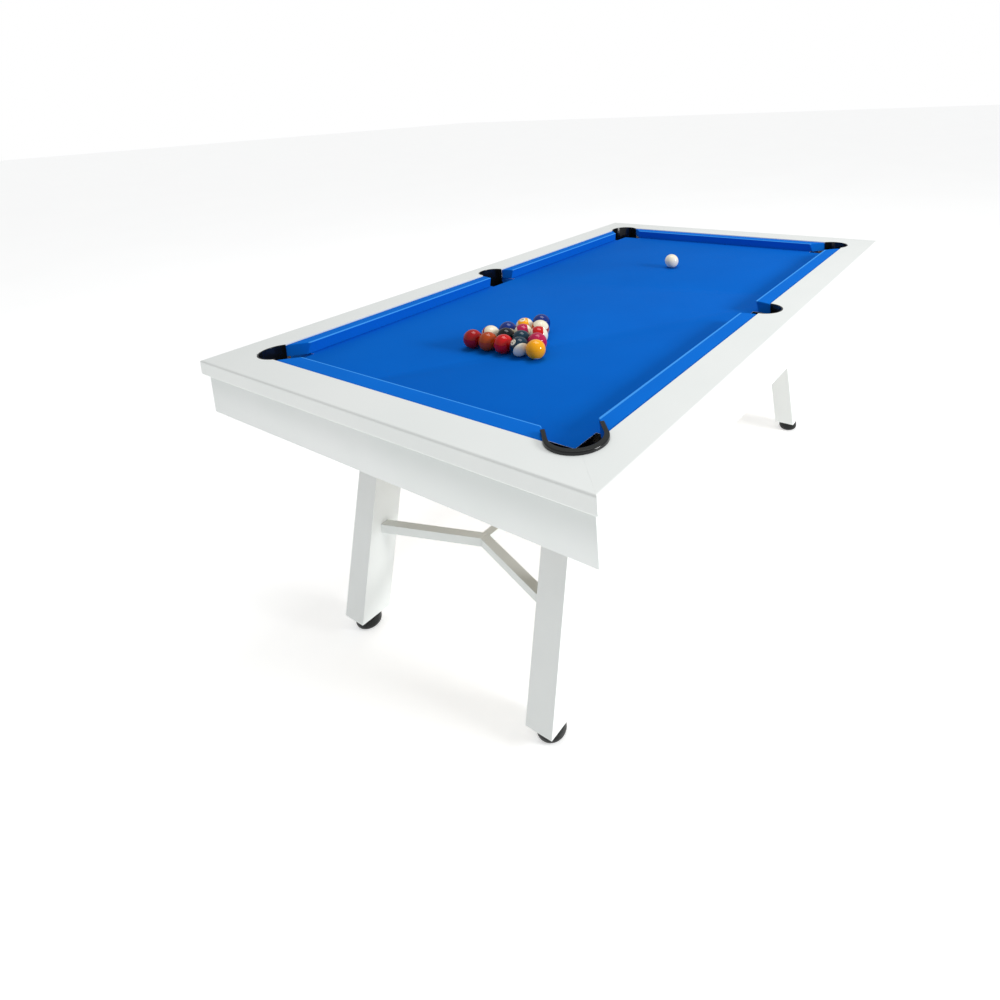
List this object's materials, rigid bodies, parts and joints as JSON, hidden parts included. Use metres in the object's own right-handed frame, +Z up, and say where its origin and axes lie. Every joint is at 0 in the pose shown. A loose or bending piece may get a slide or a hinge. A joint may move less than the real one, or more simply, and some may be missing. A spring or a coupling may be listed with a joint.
{
  "type": "mini pool table",
  "caption": "Small pool table on splayed legs with a stretcher, cloth bed and cushions, drop pockets, levelling feet, cue ball and racked balls.",
  "frame": {"origin": "on the floor under the middle of the table", "axes": "+X along the table towards the head end, +Y across towards the left side, +Z up"},
  "size_m": [2.005, 1.225, 0.7971],
  "materials": {
    "white_rail": "white melamine-faced board",
    "white_apron": "white melamine-faced board",
    "blue_cloth": "napped wool and nylon table cloth",
    "bare_board": "bare fibreboard",
    "black_plastic": "moulded glossy black",
    "leg_paint": "white powder coat",
    "leg_steel": "white powder coat",
    "zinc_steel": "zinc plated",
    "foot_rubber": "moulded, satin",
    "stretcher_paint": "white powder coat",
    "cue_resin": "polished resin",
    "resin_01": "polished resin",
    "resin_02": "polished resin",
    "resin_03": "polished resin",
    "resin_04": "polished resin",
    "resin_05": "polished resin",
    "resin_06": "polished resin",
    "resin_07": "polished resin",
    "resin_08": "polished resin",
    "resin_09": "polished resin",
    "resin_10": "polished resin",
    "resin_11": "polished resin",
    "resin_12": "polished resin",
    "resin_13": "polished resin",
    "resin_14": "polished resin",
    "resin_15": "polished resin"
  },
  "bodies": {
    "table": {"foot_rail": "white_rail", "head_rail": "white_rail", "left_rail": "white_rail", "right_rail": "white_rail", "foot_apron": "white_apron", "head_apron": "white_apron", "left_apron": "white_apron", "right_apron": "white_apron", "bed_cloth": "blue_cloth", "foot_cushion": "blue_cloth", "head_cushion": "blue_cloth", "foot_left_cushion": "blue_cloth", "foot_right_cushion": "blue_cloth", "head_left_cushion": "blue_cloth", "head_right_cushion": "blue_cloth", "bed_board": "bare_board", "bed_bearers": "bare_board", "corner_blocks": "bare_board", "foot_left_pocket": "black_plastic", "foot_right_pocket": "black_plastic", "head_left_pocket": "black_plastic", "head_right_pocket": "black_plastic", "left_side_pocket": "black_plastic", "right_side_pocket": "black_plastic", "foot_left_leg": "leg_paint", "foot_right_leg": "leg_paint", "head_left_leg": "leg_paint", "head_right_leg": "leg_paint", "leg_plates": "leg_steel", "leg_bolts": "zinc_steel", "rail_bolts": "zinc_steel", "stretcher_beam": "stretcher_paint", "foot_left_stretcher_arm": "stretcher_paint", "foot_right_stretcher_arm": "stretcher_paint", "head_left_stretcher_arm": "stretcher_paint", "head_right_stretcher_arm": "stretcher_paint"},
    "foot_left_foot": {"foot_left_foot": "foot_rubber"},
    "foot_left_stem": {"foot_left_stem": "zinc_steel"},
    "foot_right_foot": {"foot_right_foot": "foot_rubber"},
    "foot_right_stem": {"foot_right_stem": "zinc_steel"},
    "head_left_foot": {"head_left_foot": "foot_rubber"},
    "head_left_stem": {"head_left_stem": "zinc_steel"},
    "head_right_foot": {"head_right_foot": "foot_rubber"},
    "head_right_stem": {"head_right_stem": "zinc_steel"},
    "cue_ball": {"cue_ball": "cue_resin"},
    "ball_01": {"ball_01": "resin_01"},
    "ball_02": {"ball_02": "resin_02"},
    "ball_03": {"ball_03": "resin_03"},
    "ball_04": {"ball_04": "resin_04"},
    "ball_05": {"ball_05": "resin_05"},
    "ball_06": {"ball_06": "resin_06"},
    "ball_07": {"ball_07": "resin_07"},
    "ball_08": {"ball_08": "resin_08"},
    "ball_09": {"ball_09": "resin_09"},
    "ball_10": {"ball_10": "resin_10"},
    "ball_11": {"ball_11": "resin_11"},
    "ball_12": {"ball_12": "resin_12"},
    "ball_13": {"ball_13": "resin_13"},
    "ball_14": {"ball_14": "resin_14"},
    "ball_15": {"ball_15": "resin_15"}
  },
  "joints": [
    {"name": "foot_left_foot_travel", "type": "slide", "parent": "table", "child": "foot_left_foot", "axis": [0, 0, -1], "range_m": [0, 0.015]},
    {"name": "foot_left_stem_turn", "type": "hinge", "parent": "foot_left_foot", "child": "foot_left_stem", "pos_m": [-0.8095, 0.31675, 0.03], "axis": [0, 0, -1], "range_deg": [0, 3085]},
    {"name": "foot_right_foot_travel", "type": "slide", "parent": "table", "child": "foot_right_foot", "axis": [0, 0, -1], "range_m": [0, 0.015]},
    {"name": "foot_right_stem_turn", "type": "hinge", "parent": "foot_right_foot", "child": "foot_right_stem", "pos_m": [-0.8095, -0.31675, 0.03], "axis": [0, 0, -1], "range_deg": [0, 3085]},
    {"name": "head_left_foot_travel", "type": "slide", "parent": "table", "child": "head_left_foot", "axis": [0, 0, -1], "range_m": [0, 0.015]},
    {"name": "head_left_stem_turn", "type": "hinge", "parent": "head_left_foot", "child": "head_left_stem", "pos_m": [0.8095, 0.31675, 0.03], "axis": [0, 0, -1], "range_deg": [0, 3085]},
    {"name": "head_right_foot_travel", "type": "slide", "parent": "table", "child": "head_right_foot", "axis": [0, 0, -1], "range_m": [0, 0.015]},
    {"name": "head_right_stem_turn", "type": "hinge", "parent": "head_right_foot", "child": "head_right_stem", "pos_m": [0.8095, -0.31675, 0.03], "axis": [0, 0, -1], "range_deg": [0, 3085]},
    {"name": "cue_ball_roll", "type": "slide", "parent": "table", "child": "cue_ball", "axis": [-1, 0, 0], "range_m": [-0.4, 0.735]},
    {"name": "ball_01_lift", "type": "slide", "parent": "table", "child": "ball_01", "axis": [0, 0, 1], "range_m": [0, 0.12]},
    {"name": "ball_02_lift", "type": "slide", "parent": "table", "child": "ball_02", "axis": [0, 0, 1], "range_m": [0, 0.12]},
    {"name": "ball_03_lift", "type": "slide", "parent": "table", "child": "ball_03", "axis": [0, 0, 1], "range_m": [0, 0.12]},
    {"name": "ball_04_lift", "type": "slide", "parent": "table", "child": "ball_04", "axis": [0, 0, 1], "range_m": [0, 0.12]},
    {"name": "ball_05_lift", "type": "slide", "parent": "table", "child": "ball_05", "axis": [0, 0, 1], "range_m": [0, 0.12]},
    {"name": "ball_06_lift", "type": "slide", "parent": "table", "child": "ball_06", "axis": [0, 0, 1], "range_m": [0, 0.12]},
    {"name": "ball_07_lift", "type": "slide", "parent": "table", "child": "ball_07", "axis": [0, 0, 1], "range_m": [0, 0.12]},
    {"name": "ball_08_lift", "type": "slide", "parent": "table", "child": "ball_08", "axis": [0, 0, 1], "range_m": [0, 0.12]},
    {"name": "ball_09_lift", "type": "slide", "parent": "table", "child": "ball_09", "axis": [0, 0, 1], "range_m": [0, 0.12]},
    {"name": "ball_10_lift", "type": "slide", "parent": "table", "child": "ball_10", "axis": [0, 0, 1], "range_m": [0, 0.12]},
    {"name": "ball_11_lift", "type": "slide", "parent": "table", "child": "ball_11", "axis": [0, 0, 1], "range_m": [0, 0.12]},
    {"name": "ball_12_lift", "type": "slide", "parent": "table", "child": "ball_12", "axis": [0, 0, 1], "range_m": [0, 0.12]},
    {"name": "ball_13_lift", "type": "slide", "parent": "table", "child": "ball_13", "axis": [0, 0, 1], "range_m": [0, 0.12]},
    {"name": "ball_14_lift", "type": "slide", "parent": "table", "child": "ball_14", "axis": [0, 0, 1], "range_m": [0, 0.12]},
    {"name": "ball_15_lift", "type": "slide", "parent": "table", "child": "ball_15", "axis": [0, 0, 1], "range_m": [0, 0.12]}
  ],
  "couplings": [
    {"joint": "foot_left_foot_travel", "follows": "foot_left_stem_turn", "m_per_rad": 0.00027852},
    {"joint": "foot_right_foot_travel", "follows": "foot_right_stem_turn", "m_per_rad": 0.00027852},
    {"joint": "head_left_foot_travel", "follows": "head_left_stem_turn", "m_per_rad": 0.00027852},
    {"joint": "head_right_foot_travel", "follows": "head_right_stem_turn", "m_per_rad": 0.00027852}
  ]
}
